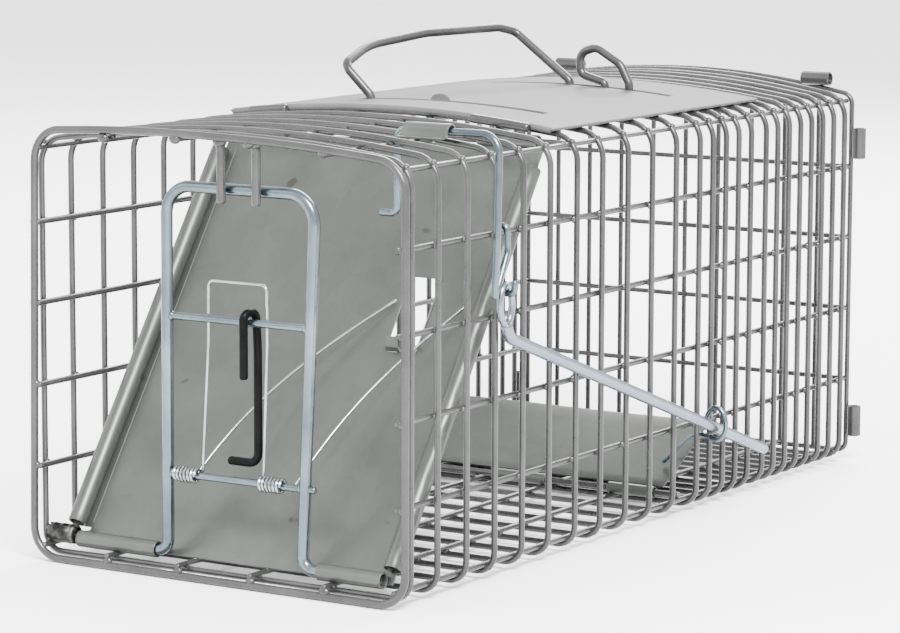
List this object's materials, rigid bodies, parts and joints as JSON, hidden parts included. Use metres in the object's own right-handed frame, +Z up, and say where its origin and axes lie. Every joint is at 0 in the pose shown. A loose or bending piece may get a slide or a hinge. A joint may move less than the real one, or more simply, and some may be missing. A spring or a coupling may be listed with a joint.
{
  "type": "live catch trap",
  "caption": "Folded wire box trap with a spring-locked drop door, side trip lever, tilting treadle and carry handle.",
  "frame": {"origin": "middle of the mouth ring's lower run, on the resting plane", "axes": "+X to the right seen from the mouth, +Y from the mouth to the rear, +Z up"},
  "size_m": [0.2244, 0.4398, 0.2382],
  "materials": {
    "wire_paint": "silver-grey paint over welded wire",
    "plate_paint": "light grey paint on sheet",
    "galvanised": "galvanised sheet, grey-green",
    "bright_zinc": "bright zinc plated rod",
    "spring_steel": "bright spring wire",
    "blue_zinc": "blue passivated zinc plated rod",
    "black_vinyl": "black dipped vinyl"
  },
  "bodies": {
    "cage": {"catch_prong_left": "wire_paint", "catch_prong_right": "wire_paint", "corner_ferrule": "galvanised", "crank_bracket": "galvanised", "door_hinge_rod": "wire_paint", "floor_mesh": "wire_paint", "front_ring": "wire_paint", "guard_plate": "plate_paint", "hanger_link": "bright_zinc", "left_wall_mesh": "wire_paint", "rear_clip_left_lower": "wire_paint", "rear_clip_left_upper": "wire_paint", "rear_clip_right_lower": "wire_paint", "rear_clip_right_upper": "wire_paint", "rear_clip_top_left": "wire_paint", "rear_clip_top_right": "wire_paint", "rear_foot_hem": "wire_paint", "rear_wall_mesh": "wire_paint", "right_wall_mesh": "wire_paint", "roof_mesh": "wire_paint", "treadle_hinge_rod": "wire_paint"},
    "door": {"door": "galvanised"},
    "lock_bar": {"lock_bar": "bright_zinc", "upper_cross_bar": "bright_zinc", "lower_cross_bar": "bright_zinc", "spring_coil_left": "spring_steel", "spring_coil_right": "spring_steel", "spring_center_loop": "spring_steel"},
    "spring_arms": {"spring_arm_left": "spring_steel", "spring_arm_right": "spring_steel"},
    "release_hook": {"release_hook": "black_vinyl"},
    "trigger_crank": {"trigger_crank": "bright_zinc"},
    "trip_lever": {"trip_lever": "blue_zinc"},
    "treadle": {"treadle": "galvanised", "treadle_ring": "bright_zinc"},
    "carry_handle": {"carry_handle": "wire_paint"},
    "finger_loop": {"finger_loop": "wire_paint"}
  },
  "joints": [
    {"name": "door_raise", "type": "hinge", "parent": "cage", "child": "door", "pos_m": [0, 0.1411, 0.1926], "axis": [-1, 0, 0], "range_deg": [0, 33]},
    {"name": "lock_bar_fold", "type": "hinge", "parent": "door", "child": "lock_bar", "pos_m": [0, 0.00809, 0.01068], "axis": [-1, 0, 0], "range_deg": [0, 32.5]},
    {"name": "spring_flex", "type": "hinge", "parent": "lock_bar", "child": "spring_arms", "pos_m": [0, 0.0082, 0.047], "axis": [1, 0, 0], "range_deg": [0, 42]},
    {"name": "hook_swing", "type": "hinge", "parent": "lock_bar", "child": "release_hook", "pos_m": [0.0155, 0.00842, 0.119], "axis": [1, 0, 0], "range_deg": [-2, 0]},
    {"name": "treadle_press", "type": "hinge", "parent": "cage", "child": "treadle", "pos_m": [0, 0.2545, 0.01], "axis": [-1, 0, 0], "range_deg": [0, 12]},
    {"name": "lever_drop", "type": "hinge", "parent": "cage", "child": "trip_lever", "pos_m": [0.109, 0.072, 0.1322], "axis": [-1, 0, 0], "range_deg": [0, 2]},
    {"name": "crank_turn", "type": "hinge", "parent": "cage", "child": "trigger_crank", "pos_m": [0.0552, 0.066, 0.2057], "axis": [-1, 0, 0], "range_deg": [0, 10.5]},
    {"name": "handle_tilt", "type": "hinge", "parent": "cage", "child": "carry_handle", "pos_m": [-0.033, 0.178, 0.2036], "axis": [0.3209, 0.9471, 0], "range_deg": [-20, 25]},
    {"name": "loop_tilt", "type": "hinge", "parent": "cage", "child": "finger_loop", "pos_m": [0.035, 0.299, 0.204], "axis": [0, 1, 0], "range_deg": [-2, 12]}
  ],
  "couplings": [
    {"joint": "lock_bar_fold", "follows": "door_raise", "ratio": 0.97},
    {"joint": "spring_flex", "follows": "door_raise", "ratio": 1.264},
    {"joint": "lever_drop", "follows": "treadle_press", "ratio": 0.06},
    {"joint": "crank_turn", "follows": "treadle_press", "ratio": 0.8}
  ]
}
